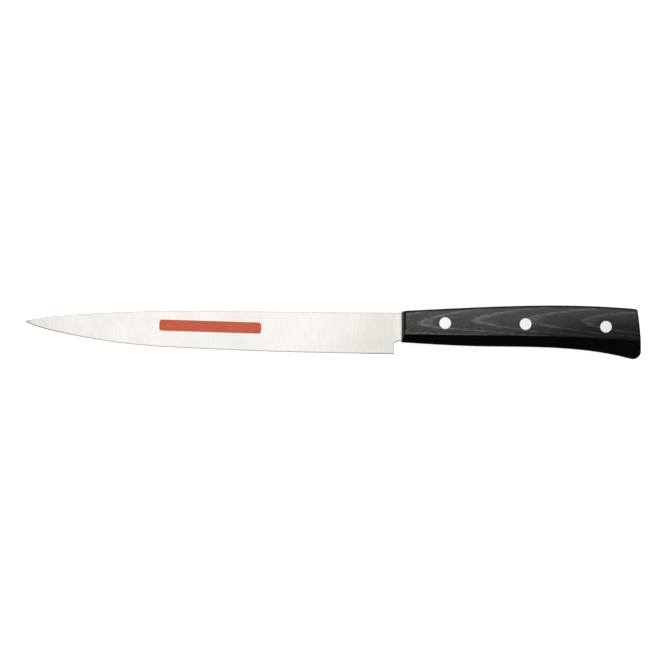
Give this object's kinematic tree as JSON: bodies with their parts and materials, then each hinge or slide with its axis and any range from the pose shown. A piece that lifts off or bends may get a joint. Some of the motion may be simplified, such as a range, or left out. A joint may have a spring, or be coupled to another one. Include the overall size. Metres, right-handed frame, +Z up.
{
  "type": "fillet knife",
  "caption": "Long slim flexible fillet knife with a straight heel, a full tang and a black laminated wood slab handle held by flush metal rivets, lying flat on its side.",
  "frame": {"origin": "centre of the knife's box in plan, on the surface that it lies on", "axes": "+X along the spine from the tip to the butt, +Y from the cutting edge to the spine, +Z up through the blade's thickness, out of the knife's left side"},
  "size_m": [0.3492, 0.03, 0.015],
  "materials": {
    "blade_steel": "satin",
    "handle_wood": "satin",
    "rivet_steel": "polished"
  },
  "bodies": {
    "root": {"blade_with_tang": "blade_steel", "left_scale": "handle_wood", "right_scale": "handle_wood", "front_rivet_socket": "rivet_steel", "front_rivet_pin": "rivet_steel", "middle_rivet_socket": "rivet_steel", "middle_rivet_pin": "rivet_steel", "rear_rivet_socket": "rivet_steel", "rear_rivet_pin": "rivet_steel"}
  },
  "joints": []
}
